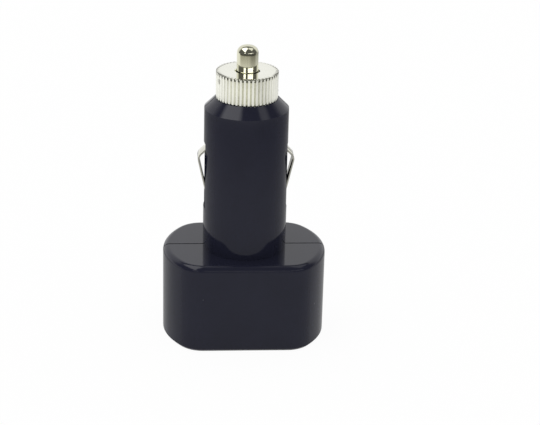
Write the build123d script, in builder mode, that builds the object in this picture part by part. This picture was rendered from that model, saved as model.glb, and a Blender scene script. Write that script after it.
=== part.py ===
# Digital voltmeter built into a plug for a car's 12 V accessory socket, in millimetres.
# It stands on its display face: the origin is the middle of that face and +Z runs to the tip.
import os
from math import ceil, cos, pi, radians, sin, tan

from build123d import *

os.makedirs("parts", exist_ok=True)

# Sizes of the whole plug
total_length = 72.6
head_width = 39.4
head_depth = 28.4
head_height = 22.2
barrel_radius = 10.05
wall = 1.8
touch = 0.05
running_gap = 0.25

# Sizes of the head
end_radius = 18.5
corner_radius = 7.0
rim_radius = 1.5
foot_bevel = 0.6
lip_height = 1.0
lip_width = 1.2
seam_width = 0.34
seam_depth = 0.25

# Sizes of the barrel, its shoulder and its threaded neck
pin_reach = 6.2
cap_height = 6.5
cap_top = total_length - pin_reach
shoulder_top = cap_top - cap_height
nose_radius = 10.0
band_height = 9.2
shoulder_radius = 7.5
shoulder_drop = nose_radius - shoulder_radius
neck_radius = 6.2
neck_wall = 1.5
neck_height = 4.4
barrel_wall = 1.7
barrel_bore = nose_radius - barrel_wall
neck_bore = neck_radius - neck_wall
neck_top = shoulder_top + neck_height
band_top = head_height + band_height
nose_top = shoulder_top - shoulder_drop

# Sizes of the knurled cap
cap_radius = 7.35
cap_roof = 1.1
cap_hole = 2.95
cap_bevel = 0.15
knurl_teeth = 48
knurl_depth = 0.4
knurl_crest_share = 0.5

# Sizes of the centre contact
tip_radius = 2.55
tip_crown = 0.9
tip_edge_radius = 1.8
tip_flange_radius = 4.3
tip_flange_height = 1.3
tip_boss_radius = 2.8
tip_boss_height = 1.0
tip_crown_radius = (tip_radius**2 + tip_crown**2) / (2 * tip_crown)
tip_flange_top = cap_top - cap_roof - touch
fuse_top = tip_flange_top - tip_flange_height - tip_boss_height

# Sizes of the spring under the fuse and of the brass plate that it stands on
spring_length = 8.0
spring_radius = 2.2
spring_wire_radius = 0.35
spring_turns = 3.5
spring_sides = 8
spring_steps_per_turn = 16
seat_rise = 2.75
seat_radius = 3.0
seat_thickness = 0.5
seat_tail_width = 1.6
seat_tail_length = 3.4
seat_top = head_height + seat_rise
seat_bottom = seat_top - seat_thickness

# Sizes of the glass fuse, which fills the way from the spring to the centre contact
fuse_radius = 3.175
fuse_cap_length = 6.0
fuse_cap_wall = 0.22
fuse_cap_end = 0.5
glass_wall = 0.6
fuse_wire_radius = 0.15
fuse_bottom = seat_top + spring_length
fuse_length = fuse_top - fuse_bottom
glass_radius = fuse_radius - fuse_cap_wall - touch / 2

# Sizes of the side contacts, as radius from the plug axis and height
strip_width = 4.0
strip_thickness = 0.4
strip_lift = 1.5
strip_headroom = 9.5
strip_leg_height = 2.5
strip_top = (8.9, nose_top - strip_headroom)
strip_knee = (11.45, strip_top[1] - strip_leg_height)
strip_bend = (8.65, band_top + strip_lift)
strip_foot_radius = 5.8
strip_knee_radius = 1.8
strip_bend_radius = 0.6
slot_clearance = 0.3
slot_headroom = 1.0
slot_top = strip_top[1] + slot_headroom
slot_bottom = strip_bend[1] - strip_thickness / 2 - slot_clearance
slot_width = strip_width + 2 * slot_clearance

# Sizes of the webs and bosses inside the two housing halves
web_thickness = 1.2
web_root = 0.5
guide_radius = fuse_radius + running_gap
guide_rise = 4.6
guide_drop = 7.2
guide_heights = (band_top + guide_rise, shoulder_top - guide_drop)
seat_web_top = seat_bottom - touch
seat_ring_wall = 1.0
seat_ring_height = 2.0
lead_notch_width = 4.0
lead_offset = 6.0
ledge_depth = 2.0
ledge_height = 1.6
pin_radius = 0.9
pin_length = 1.8
pin_clearance = 0.1
boss_width = 3.6
head_boss_inset = 4.3
head_boss_drop = 6.0
nose_boss_offset = 6.4
nose_boss_drop = 5.2
boss_places = (
    (head_width / 2 - head_boss_inset, head_height - head_boss_drop),
    (nose_boss_offset, shoulder_top - nose_boss_drop),
)

# Sizes of the display window
window_thickness = 1.6
window_clearance = 0.15
window_top = lip_height + window_thickness

# Sizes of the display module
display_width = 22.5
display_depth = 14.0
display_height = 7.2
display_wall = 0.8
display_gap = 0.3
display_bottom = window_top + display_gap
display_top = display_bottom + display_height
display_base_thickness = 0.8
potting_depth = 1.2
fill_clearance = 0.02
digit_count = 3
digit_pitch = 7.2
digit_height = 9.14
digit_width = 4.9
segment_width = 0.9
segment_gap = 0.12
digit_slant = radians(8)
point_width = 0.9

# Sizes of the circuit board and of the pins that carry the display
board_clearance = 0.5
board_thickness = 1.6
board_gap = 0.2
board_bottom = display_top + board_gap
board_top = board_bottom + board_thickness
display_pin_width = 0.5
display_pin_length = 3.1
display_pin_pitch = 2.54
display_pin_rows = 10.16
display_pins_per_row = 6
pin_hole_radius = 0.5
pin_hole_sides = 8
rib_thickness = 1.4
rib_reach = 1.5
rib_spacing = 16.0
rib_height = 6.0
rib_notch_clearance = 0.1

# Sizes of the wires
lead_radius = 0.65
lead_rise = 3.2
jumper_radius = 0.5
jumper_bow = 6.0
jumper_drop = 1.4

# Sizes of the parts on the circuit board
chip_size = (9.9, 3.9, 1.4)
chip_lift = 0.15
chip_lead_pitch = 1.27
chip_leads_per_side = 8
chip_lead_width = 0.42
chip_lead_thickness = 0.2
chip_lead_reach = 1.05
capacitor_radius = 2.0
capacitor_height = 5.2
capacitor_base_width = 4.3
capacitor_base_height = 0.7
capacitor_edge = 0.4
capacitor_gap = 0.4
capacitor_place = (-(lead_offset + lead_radius + capacitor_gap + capacitor_base_width / 2), 0)
regulator_size = (4.5, 2.5, 1.3)
regulator_tab_size = (1.7, 4.0, 0.35)
regulator_place = (10.0, 3.6)
diode_size = (3.6, 2.6, 1.7)
diode_lead_size = (5.0, 1.5, 0.2)
diode_place = (10.0, -3.4)
resistor_size = (2.0, 1.25, 0.5)
resistor_count = 6
resistor_pitch = 3.0
resistor_row = 8.3
filter_size = (2.0, 1.25, 0.9)
filter_count = 2
filter_pitch = 6.0
filter_row = -8.3


def head_outline(inset):
    """Plan outline of the head, a circle pair cut flat front and back, moved in by inset."""
    centre = head_width / 2 - end_radius
    with BuildSketch(mode=Mode.PRIVATE) as outline:
        with Locations((-centre, 0), (centre, 0)):
            Circle(end_radius)
        Rectangle(2 * centre, 2 * end_radius)
        Rectangle(head_width, head_depth, mode=Mode.INTERSECT)
        rows = outline.vertices().group_by(Axis.Y)
        fillet(rows[0] + rows[-1], corner_radius)
        if inset:
            offset(amount=-inset, mode=Mode.REPLACE)
    return outline.sketch


def segment_outlines(inset):
    """The seven slanted bars and the point of each digit on the display, thinned by inset."""
    half = segment_width / 2 - inset
    reach_x = digit_width / 2 - segment_width / 2
    reach_y = digit_height / 4 - segment_width / 4
    ends = [
        ((-reach_x, 2 * reach_y), (reach_x, 2 * reach_y)),
        ((-reach_x, 0), (reach_x, 0)),
        ((-reach_x, -2 * reach_y), (reach_x, -2 * reach_y)),
    ]
    for side in (-reach_x, reach_x):
        ends.append(((side, 0), (side, 2 * reach_y)))
        ends.append(((side, -2 * reach_y), (side, 0)))
    with BuildSketch(mode=Mode.PRIVATE) as outlines:
        for digit in range(digit_count):
            middle = (digit - (digit_count - 1) / 2) * digit_pitch
            for (x0, y0), (x1, y1) in ends:
                run = max(abs(x1 - x0), abs(y1 - y0))
                along = ((x1 - x0) / run, (y1 - y0) / run)
                across = (-along[1], along[0])
                blunt = segment_gap + inset
                steps = [(blunt, 0), (blunt + half, half), (run - blunt - half, half)]
                steps += [(run - blunt, 0), (run - blunt - half, -half), (blunt + half, -half)]
                corners = []
                for s, t in steps:
                    y = y0 + along[1] * s + across[1] * t
                    x = x0 + along[0] * s + across[0] * t + y * tan(digit_slant)
                    corners.append((middle + x, y))
                with BuildLine():
                    Polyline(*corners, close=True)
                make_face()
            point_x = middle + digit_width / 2 + point_width / 2
            with Locations((point_x, (point_width - digit_height) / 2)):
                Rectangle(point_width - 2 * inset, point_width - 2 * inset)
    return outlines.sketch


# Side line of the plug from the head up to the end of the neck, as radius and height
plug_profile = [
    (barrel_radius, head_height),
    (barrel_radius, band_top),
    (nose_radius, nose_top),
    (shoulder_radius, shoulder_top),
    (neck_radius, shoulder_top),
    (neck_radius, neck_top),
]

# Outer form of the closed housing: head, barrel, shoulder and neck
with BuildPart() as envelope:
    with BuildSketch():
        add(head_outline(0))
    extrude(amount=head_height)
    fillet(envelope.faces().sort_by(Axis.Z)[-1].edges(), rim_radius)
    chamfer(envelope.faces().sort_by(Axis.Z)[0].edges(), foot_bevel)
    with BuildSketch(Plane.XZ):
        with BuildLine():
            root = head_height - wall
            Polyline((0, root), (barrel_radius, root), *plug_profile, (0, neck_top), close=True)
        make_face()
    revolve(axis=Axis.Z)

# Hollow inside the closed housing, open at the display and at the neck
with BuildPart() as cavity:
    with BuildSketch():
        add(head_outline(wall + lip_width))
    extrude(amount=lip_height)
    with BuildSketch(Plane.XY.offset(lip_height)):
        add(head_outline(wall))
    extrude(amount=head_height - wall - lip_height)
    with BuildSketch(Plane.XZ):
        with BuildLine():
            Polyline(
                (0, head_height - 2 * wall),
                (barrel_bore, head_height - 2 * wall),
                (barrel_bore, shoulder_top - (barrel_bore - neck_bore)),
                (neck_bore, shoulder_top),
                (neck_bore, neck_top),
                (0, neck_top),
                close=True,
            )
        make_face()
    revolve(axis=Axis.Z)

# Webs, ledges, ribs and bosses moulded inside the halves
with BuildPart() as inner_frame:
    for web_bottom in (seat_web_top - web_thickness, *guide_heights):
        with BuildSketch(Plane.XY.offset(web_bottom)):
            Circle(barrel_bore + web_root)
        extrude(amount=web_thickness)
    for guide_bottom in guide_heights:
        with BuildSketch(Plane.XY.offset(guide_bottom)):
            Circle(guide_radius)
        extrude(amount=web_thickness, mode=Mode.SUBTRACT)
    with BuildSketch(Plane.XY.offset(seat_web_top)):
        Circle(seat_radius + running_gap + seat_ring_wall)
        Circle(seat_radius + running_gap, mode=Mode.SUBTRACT)
    extrude(amount=seat_ring_height)
    with BuildSketch(Plane.XY.offset(seat_web_top - web_thickness)):
        Circle(seat_tail_width / 2 + running_gap)
        with Locations((-lead_offset, 0), (lead_offset, 0)):
            Rectangle(lead_notch_width, lead_notch_width)
    extrude(amount=web_thickness, mode=Mode.SUBTRACT)
    with BuildSketch(Plane.XY.offset(slot_bottom - ledge_height)):
        with Locations((-barrel_bore, 0), (barrel_bore, 0)):
            Rectangle(ledge_depth, slot_width)
    extrude(amount=ledge_height)
    with BuildSketch(Plane.XZ):
        with Locations(*boss_places, *[(-x, z) for x, z in boss_places]):
            Rectangle(boss_width, boss_width)
    extrude(amount=head_depth / 2, both=True)
    with BuildSketch(Plane.XY.offset(window_top + touch)):
        with GridLocations(rib_spacing, head_depth - 2 * wall - rib_reach, 2, 2):
            Rectangle(rib_thickness, rib_reach + 2 * web_root)
    extrude(amount=board_top + rib_height - window_top - touch)
    with BuildSketch(Plane.XY.offset(board_bottom - rib_notch_clearance)):
        add(head_outline(wall))
    extrude(amount=board_thickness + 2 * rib_notch_clearance, mode=Mode.SUBTRACT)
    add(envelope.part, mode=Mode.INTERSECT)

# Closed housing with both slots for the side contacts
with BuildPart() as closed_housing:
    add(envelope.part)
    add(cavity.part, mode=Mode.SUBTRACT)
    add(inner_frame.part)
    for side in (1, -1):
        with BuildSketch(Plane.YZ.offset(side * (barrel_bore - ledge_depth / 2))):
            with Locations((0, (slot_top + slot_bottom) / 2)):
                Rectangle(slot_width, slot_top - slot_bottom)
        extrude(amount=side * 2 * ledge_depth, mode=Mode.SUBTRACT)

# Line along which the halves meet, cut into both as a fine groove
with BuildSketch(Plane.XZ) as side_view:
    with BuildLine():
        half_view = [(head_width / 2, 0), (head_width / 2, head_height), *plug_profile]
        Polyline(*half_view, *[(-x, z) for x, z in reversed(half_view)], close=True)
    make_face()
    columns = side_view.sketch_local.vertices().group_by(Axis.X)
    fillet([columns[0].sort_by(Axis.Y)[-1], columns[-1].sort_by(Axis.Y)[-1]], rim_radius)
with BuildSketch(Plane.XZ) as seam_line:
    offset(side_view.sketch_local, amount=seam_depth)
    offset(side_view.sketch_local, amount=-seam_depth, mode=Mode.SUBTRACT)

# Front half of the housing, with the locating pins
with BuildPart() as housing_front:
    add(closed_housing.part)
    split(bisect_by=Plane.XZ, keep=Keep.TOP)
    with BuildSketch(Plane.XZ):
        add(seam_line.sketch_local)
    extrude(amount=seam_width / 2, mode=Mode.SUBTRACT)
    with BuildSketch(Plane.XZ):
        with Locations(*boss_places, *[(-x, z) for x, z in boss_places]):
            Circle(pin_radius)
    extrude(amount=-pin_length)
housing_front.part.label = "housing_front"
export_step(housing_front.part, "parts/housing_front.step")

# Rear half of the housing, with the sockets for the pins
with BuildPart() as housing_rear:
    add(closed_housing.part)
    split(bisect_by=Plane.XZ, keep=Keep.BOTTOM)
    with BuildSketch(Plane.XZ):
        add(seam_line.sketch_local)
    extrude(amount=-seam_width / 2, mode=Mode.SUBTRACT)
    with BuildSketch(Plane.XZ):
        with Locations(*boss_places, *[(-x, z) for x, z in boss_places]):
            Circle(pin_radius + pin_clearance)
    extrude(amount=-(pin_length + running_gap), mode=Mode.SUBTRACT)
housing_rear.part.label = "housing_rear"
export_step(housing_rear.part, "parts/housing_rear.step")

# Tinted window that lies on the lip of the display opening
with BuildPart() as display_window:
    with BuildSketch(Plane.XY.offset(lip_height)):
        add(head_outline(wall + window_clearance))
    extrude(amount=window_thickness)
display_window.part.label = "display_window"
export_step(display_window.part, "parts/display_window.step")

# Nickel-plated cap with straight knurling, screwed onto the neck
with BuildPart() as knurled_cap:
    with BuildSketch(Plane.XY.offset(shoulder_top + touch)):
        crest = knurl_crest_share * pi / knurl_teeth
        corners = []
        for tooth in range(knurl_teeth):
            turn = 2 * pi * tooth / knurl_teeth
            for radius, angle in (
                (cap_radius, turn - crest),
                (cap_radius, turn + crest),
                (cap_radius - knurl_depth, turn + pi / knurl_teeth),
            ):
                corners.append((radius * cos(angle), radius * sin(angle)))
        with BuildLine():
            Polyline(*corners, close=True)
        make_face()
    extrude(amount=cap_top - shoulder_top - touch)
    with BuildSketch(Plane.XZ):
        with BuildLine():
            Polyline(
                (0, shoulder_top + touch),
                (cap_radius - cap_bevel, shoulder_top + touch),
                (cap_radius, shoulder_top + touch + cap_bevel),
                (cap_radius, cap_top - cap_bevel),
                (cap_radius - cap_bevel, cap_top),
                (0, cap_top),
                close=True,
            )
        make_face()
    revolve(axis=Axis.Z, mode=Mode.INTERSECT)
    with BuildSketch(Plane.XY.offset(shoulder_top)):
        Circle(neck_radius + running_gap)
    extrude(amount=cap_top - cap_roof - shoulder_top, mode=Mode.SUBTRACT)
    with BuildSketch(Plane.XY.offset(cap_top - cap_roof)):
        Circle(cap_hole)
    extrude(amount=cap_roof, mode=Mode.SUBTRACT)
knurled_cap.part.label = "knurled_cap"
export_step(knurled_cap.part, "parts/knurled_cap.step")

# Turned centre contact: pin with a crowned end, flange under the cap and boss on the fuse
with BuildPart() as tip_contact:
    with BuildSketch(Plane.XZ) as tip_section:
        with BuildLine():
            side_line = Polyline(
                (0, total_length),
                (0, fuse_top),
                (tip_boss_radius, fuse_top),
                (tip_boss_radius, fuse_top + tip_boss_height),
                (tip_flange_radius, fuse_top + tip_boss_height),
                (tip_flange_radius, tip_flange_top),
                (tip_radius, tip_flange_top),
                (tip_radius, total_length - tip_crown),
            )
            RadiusArc(side_line @ 1, side_line @ 0, -tip_crown_radius)
        make_face()
        fillet(tip_section.sketch_local.vertices().sort_by(Axis.Y)[-2], tip_edge_radius)
    revolve(axis=Axis.Z)
tip_contact.part.label = "tip_contact"
export_step(tip_contact.part, "parts/tip_contact.step")

# Right side contact, a bent spring strip
with BuildPart() as side_contact_right:
    with BuildSketch(Plane.XZ):
        with BuildLine() as strip_line:
            Polyline(strip_top, strip_knee, strip_bend, (strip_foot_radius, strip_bend[1]))
            by_height = strip_line.vertices().sort_by(Axis.Y)
            fillet(by_height[-2], strip_knee_radius)
            outer = strip_line.vertices().group_by(Axis.Y)[0].sort_by(Axis.X)[-1]
            fillet(outer, strip_bend_radius)
        trace(line_width=strip_thickness)
    extrude(amount=strip_width / 2, both=True)
side_contact_right.part.label = "side_contact_right"
export_step(side_contact_right.part, "parts/side_contact_right.step")

# Left side contact, the same strip turned round
with BuildPart() as side_contact_left:
    mirror(side_contact_right.part, about=Plane.YZ)
side_contact_left.part.label = "side_contact_left"
export_step(side_contact_left.part, "parts/side_contact_left.step")

# Glass tube of the fuse
with BuildPart() as fuse_tube:
    with BuildSketch(Plane.XY.offset(fuse_bottom + fuse_cap_end + touch)):
        Circle(glass_radius)
        Circle(glass_radius - glass_wall, mode=Mode.SUBTRACT)
    extrude(amount=fuse_length - 2 * (fuse_cap_end + touch))
fuse_tube.part.label = "fuse_tube"
export_step(fuse_tube.part, "parts/fuse_tube.step")

# Metal cap on the lower end of the fuse
with BuildPart() as fuse_cap_lower:
    with BuildSketch(Plane.XY.offset(fuse_bottom)):
        Circle(fuse_radius)
    extrude(amount=fuse_cap_length)
    with BuildSketch(Plane.XY.offset(fuse_bottom + fuse_cap_end)):
        Circle(fuse_radius - fuse_cap_wall)
    extrude(amount=fuse_cap_length - fuse_cap_end, mode=Mode.SUBTRACT)
fuse_cap_lower.part.label = "fuse_cap_lower"
export_step(fuse_cap_lower.part, "parts/fuse_cap_lower.step")

# Metal cap on the upper end of the fuse
with BuildPart() as fuse_cap_upper:
    mirror(fuse_cap_lower.part, about=Plane.XY.offset(fuse_bottom + fuse_length / 2))
fuse_cap_upper.part.label = "fuse_cap_upper"
export_step(fuse_cap_upper.part, "parts/fuse_cap_upper.step")

# Wire that melts inside the fuse
with BuildPart() as fuse_wire:
    with BuildSketch(Plane.XY.offset(fuse_bottom + fuse_cap_end)):
        Circle(fuse_wire_radius)
    extrude(amount=fuse_length - 2 * fuse_cap_end)
fuse_wire.part.label = "fuse_wire"
export_step(fuse_wire.part, "parts/fuse_wire.step")

# Coil spring that pushes the fuse and the centre contact up
with BuildPart() as contact_spring:
    coil_start = seat_top + spring_wire_radius + touch
    coil_height = spring_length - 2 * (spring_wire_radius + touch)
    coil_steps = ceil(spring_turns * spring_steps_per_turn)
    coil_points = []
    for step in range(coil_steps + 1):
        turn = 2 * pi * spring_turns * step / coil_steps
        height = coil_start + coil_height * step / coil_steps
        coil_points.append((spring_radius * cos(turn), spring_radius * sin(turn), height))
    with BuildLine() as coil:
        Polyline(*coil_points)
    with BuildSketch(Plane(coil.line @ 0, z_dir=coil.line % 0)):
        RegularPolygon(spring_wire_radius, spring_sides)
    sweep(path=coil.line, transition=Transition.RIGHT)
contact_spring.part.label = "contact_spring"
export_step(contact_spring.part, "parts/contact_spring.step")

# Brass plate under the spring, with a tail for the positive wire
with BuildPart() as spring_seat:
    with BuildSketch(Plane.XY.offset(seat_bottom)):
        Circle(seat_radius)
    extrude(amount=seat_thickness)
    with BuildSketch(Plane.XY.offset(seat_bottom)):
        Rectangle(seat_thickness, seat_tail_width)
    extrude(amount=-seat_tail_length)
spring_seat.part.label = "spring_seat"
export_step(spring_seat.part, "parts/spring_seat.step")

# Red wire from the circuit board to the tail of the brass plate
with BuildPart() as positive_lead:
    tail_side = seat_thickness / 2 + lead_radius + touch
    lead_top = seat_web_top - web_thickness - running_gap
    with BuildLine() as positive_path:
        Polyline(
            (lead_offset, 0, board_top),
            (lead_offset, 0, board_top + lead_rise),
            (tail_side, 0, lead_top - lead_rise),
            (tail_side, 0, lead_top),
        )
    with BuildSketch(Plane(positive_path.line @ 0, z_dir=positive_path.line % 0)):
        Circle(lead_radius)
    sweep(path=positive_path.line, transition=Transition.RIGHT)
positive_lead.part.label = "positive_lead"
export_step(positive_lead.part, "parts/positive_lead.step")

# Black wire from the circuit board to the foot of the left side contact
with BuildPart() as negative_lead:
    foot_underside = strip_bend[1] - strip_thickness / 2 - touch
    with BuildSketch(Plane.XY.offset(board_top)):
        with Locations((-lead_offset, -strip_width / 4)):
            Circle(lead_radius)
    extrude(amount=foot_underside - board_top)
negative_lead.part.label = "negative_lead"
export_step(negative_lead.part, "parts/negative_lead.step")

# Short wire that joins the feet of both side contacts, round the back of the fuse
with BuildPart() as ground_jumper:
    with BuildLine() as jumper_path:
        Polyline(
            (-lead_offset, strip_width / 4, foot_underside),
            (-lead_offset, strip_width / 4, foot_underside - jumper_drop),
            (-lead_offset / 2, jumper_bow, foot_underside - jumper_drop),
            (lead_offset / 2, jumper_bow, foot_underside - jumper_drop),
            (lead_offset, strip_width / 4, foot_underside - jumper_drop),
            (lead_offset, strip_width / 4, foot_underside),
        )
    with BuildSketch(Plane(jumper_path.line @ 0, z_dir=jumper_path.line % 0)):
        Circle(jumper_radius)
    sweep(path=jumper_path.line, transition=Transition.RIGHT)
ground_jumper.part.label = "ground_jumper"
export_step(ground_jumper.part, "parts/ground_jumper.step")

# Circuit board across the head, drilled for the display's pins
with BuildPart() as circuit_board:
    with BuildSketch(Plane.XY.offset(board_bottom)):
        add(head_outline(wall + board_clearance))
        with GridLocations(display_pin_pitch, display_pin_rows, display_pins_per_row, 2):
            RegularPolygon(pin_hole_radius, pin_hole_sides, mode=Mode.SUBTRACT)
    extrude(amount=board_thickness)
circuit_board.part.label = "circuit_board"
export_step(circuit_board.part, "parts/circuit_board.step")

# Case of the display module, open at the back, with a window for every segment
with BuildPart() as display_case:
    with BuildSketch(Plane.XY.offset(display_bottom)):
        Rectangle(display_width, display_depth)
    extrude(amount=display_height)
    with BuildSketch(Plane.XY.offset(display_bottom + display_wall)):
        Rectangle(display_width - 2 * display_wall, display_depth - 2 * display_wall)
    extrude(amount=display_height - display_wall, mode=Mode.SUBTRACT)
    with BuildSketch(Plane.XY.offset(display_bottom)):
        add(mirror(segment_outlines(0), about=Plane.YZ, mode=Mode.PRIVATE))
    extrude(amount=display_wall, mode=Mode.SUBTRACT)
display_case.part.label = "display_case"
export_step(display_case.part, "parts/display_case.step")

# Clear resin cast into the case, which fills the segment windows
with BuildPart() as display_segments:
    with BuildSketch(Plane.XY.offset(display_bottom + display_wall)):
        Rectangle(
            display_width - 2 * (display_wall + touch),
            display_depth - 2 * (display_wall + touch),
        )
    extrude(amount=potting_depth)
    with BuildSketch(Plane.XY.offset(display_bottom)):
        add(mirror(segment_outlines(fill_clearance), about=Plane.YZ, mode=Mode.PRIVATE))
    extrude(amount=display_wall)
display_segments.part.label = "display_segments"
export_step(display_segments.part, "parts/display_segments.step")

# Small board that closes the back of the display module
with BuildPart() as display_base:
    with BuildSketch(Plane.XY.offset(display_top - display_base_thickness)):
        Rectangle(
            display_width - 2 * (display_wall + touch),
            display_depth - 2 * (display_wall + touch),
        )
    extrude(amount=display_base_thickness)
display_base.part.label = "display_base"
export_step(display_base.part, "parts/display_base.step")

# Square pins that carry the display module on the circuit board
with BuildPart() as display_pins:
    with BuildSketch(Plane.XY.offset(display_top)):
        with GridLocations(display_pin_pitch, display_pin_rows, display_pins_per_row, 2):
            Rectangle(display_pin_width, display_pin_width)
    extrude(amount=display_pin_length)
display_pins.part.label = "display_pins"
export_step(display_pins.part, "parts/display_pins.step")

# Controller chip that measures the voltage
with BuildPart() as controller_chip:
    with BuildSketch(Plane.XY.offset(board_top + chip_lift)):
        Rectangle(chip_size[0], chip_size[1])
    extrude(amount=chip_size[2])
controller_chip.part.label = "controller_chip"
export_step(controller_chip.part, "parts/controller_chip.step")

# Bent leads along both sides of the chip
with BuildPart() as controller_leads:
    lead_start = chip_size[1] / 2
    lead_knee = lead_start + chip_lead_reach / 2
    lead_height = board_top + chip_lift + chip_size[2] / 2
    with BuildSketch(Plane.YZ):
        with BuildLine():
            Polyline(
                (lead_start, lead_height),
                (lead_knee, lead_height),
                (lead_knee, board_top),
                (lead_start + chip_lead_reach, board_top),
                (lead_start + chip_lead_reach, board_top + chip_lead_thickness),
                (lead_knee + chip_lead_thickness, board_top + chip_lead_thickness),
                (lead_knee + chip_lead_thickness, lead_height + chip_lead_thickness),
                (lead_start, lead_height + chip_lead_thickness),
                close=True,
            )
        make_face()
    first_lead = extrude(amount=chip_lead_width / 2, both=True, mode=Mode.PRIVATE)
    with GridLocations(chip_lead_pitch, 0, chip_leads_per_side, 1):
        add(first_lead)
    mirror(about=Plane.XZ)
controller_leads.part.label = "controller_leads"
export_step(controller_leads.part, "parts/controller_leads.step")

# Smoothing capacitor: plastic base
with BuildPart() as capacitor_base:
    with BuildSketch(Plane.XY.offset(board_top)):
        with Locations(capacitor_place):
            Rectangle(capacitor_base_width, capacitor_base_width)
    extrude(amount=capacitor_base_height)
capacitor_base.part.label = "capacitor_base"
export_step(capacitor_base.part, "parts/capacitor_base.step")

# Smoothing capacitor: aluminium can
with BuildPart() as capacitor_can:
    with BuildSketch(Plane.XY.offset(board_top + capacitor_base_height)):
        with Locations(capacitor_place):
            Circle(capacitor_radius)
    extrude(amount=capacitor_height)
    chamfer(capacitor_can.faces().sort_by(Axis.Z)[-1].edges(), capacitor_edge)
capacitor_can.part.label = "capacitor_can"
export_step(capacitor_can.part, "parts/capacitor_can.step")

# Voltage regulator: cooling tab soldered flat on the board
with BuildPart() as regulator_tab:
    with BuildSketch(Plane.XY.offset(board_top)):
        with Locations(regulator_place):
            Rectangle(regulator_tab_size[0], regulator_tab_size[1])
    extrude(amount=regulator_tab_size[2])
regulator_tab.part.label = "regulator_tab"
export_step(regulator_tab.part, "parts/regulator_tab.step")

# Voltage regulator: moulded body on the tab
with BuildPart() as regulator:
    with BuildSketch(Plane.XY.offset(board_top + regulator_tab_size[2])):
        with Locations(regulator_place):
            Rectangle(regulator_size[0], regulator_size[1])
    extrude(amount=regulator_size[2])
regulator.part.label = "regulator"
export_step(regulator.part, "parts/regulator.step")

# Diode against reversed polarity: lead strip under the body
with BuildPart() as diode_leads:
    with BuildSketch(Plane.XY.offset(board_top)):
        with Locations(diode_place):
            Rectangle(diode_lead_size[0], diode_lead_size[1])
            Rectangle(diode_size[0] / 2, diode_lead_size[1], mode=Mode.SUBTRACT)
    extrude(amount=diode_lead_size[2])
diode_leads.part.label = "diode_leads"
export_step(diode_leads.part, "parts/diode_leads.step")

# Diode against reversed polarity: moulded body
with BuildPart() as diode:
    with BuildSketch(Plane.XY.offset(board_top + diode_lead_size[2])):
        with Locations(diode_place):
            Rectangle(diode_size[0], diode_size[1])
    extrude(amount=diode_size[2])
diode.part.label = "diode"
export_step(diode.part, "parts/diode.step")


def chip_row(name, size, count, pitch, row):
    """Flat ceramic chips in one row on the board, each written as a node of its own."""
    for number in range(count):
        with BuildPart() as chip:
            with BuildSketch(Plane.XY.offset(board_top)):
                with Locations(((number - (count - 1) / 2) * pitch, row)):
                    Rectangle(size[0], size[1])
            extrude(amount=size[2])
        chip.part.label = f"{name}_{number + 1}"
        export_step(chip.part, f"parts/{name}_{number + 1}.step")


# Resistors of the voltage divider and of the display, and two filter capacitors
chip_row("resistor", resistor_size, resistor_count, resistor_pitch, resistor_row)
chip_row("filter_capacitor", filter_size, filter_count, filter_pitch, filter_row)
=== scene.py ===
from math import cos, pi, radians, sin

import bmesh
import bpy
import numpy as np
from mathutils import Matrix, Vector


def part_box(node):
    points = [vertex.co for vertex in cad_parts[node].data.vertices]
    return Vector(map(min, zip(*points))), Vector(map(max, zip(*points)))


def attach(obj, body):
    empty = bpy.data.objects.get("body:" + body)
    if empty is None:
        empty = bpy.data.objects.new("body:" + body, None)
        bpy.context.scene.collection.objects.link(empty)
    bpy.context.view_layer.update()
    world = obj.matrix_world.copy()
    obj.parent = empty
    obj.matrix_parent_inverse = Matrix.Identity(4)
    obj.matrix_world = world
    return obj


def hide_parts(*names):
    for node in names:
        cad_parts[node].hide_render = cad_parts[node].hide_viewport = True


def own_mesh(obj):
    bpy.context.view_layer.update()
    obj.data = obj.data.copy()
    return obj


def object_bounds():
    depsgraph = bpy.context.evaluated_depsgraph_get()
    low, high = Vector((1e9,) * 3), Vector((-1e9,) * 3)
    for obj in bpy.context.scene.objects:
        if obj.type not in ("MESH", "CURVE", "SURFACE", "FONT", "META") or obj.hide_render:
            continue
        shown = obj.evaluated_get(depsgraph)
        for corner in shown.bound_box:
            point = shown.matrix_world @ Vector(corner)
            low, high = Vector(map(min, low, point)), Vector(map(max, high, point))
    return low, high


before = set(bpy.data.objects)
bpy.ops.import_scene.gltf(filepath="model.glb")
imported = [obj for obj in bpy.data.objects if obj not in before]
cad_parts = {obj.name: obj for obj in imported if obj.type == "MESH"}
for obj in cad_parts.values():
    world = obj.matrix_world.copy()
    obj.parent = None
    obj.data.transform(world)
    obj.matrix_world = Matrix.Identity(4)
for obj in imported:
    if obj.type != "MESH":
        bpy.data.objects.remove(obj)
cad_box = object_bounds()

# The housing is two half shells of black ABS, moulded in polished steel and glued together along the
# middle of the plug. Their solids are shown as they are, with a weld and a shading angle that make the
# curved walls smooth.
mm = 0.001
weld_distance = 0.002 * mm
crease_angle = radians(25)
abs_blacks = ((0.0098, 0.0104, 0.0190, 1), (0.0137, 0.0145, 0.0270, 1))
dust_grey = (0.16, 0.16, 0.17, 1)
speck_size = 0.028
speck_patches = 0.56
speck_cover = 0.7
# Painted shade in the groove along the glued joint: its half width and its near-black colour.
seam_half = 0.18 * mm
seam_shade_black = (0.006, 0.006, 0.009, 1)


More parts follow.
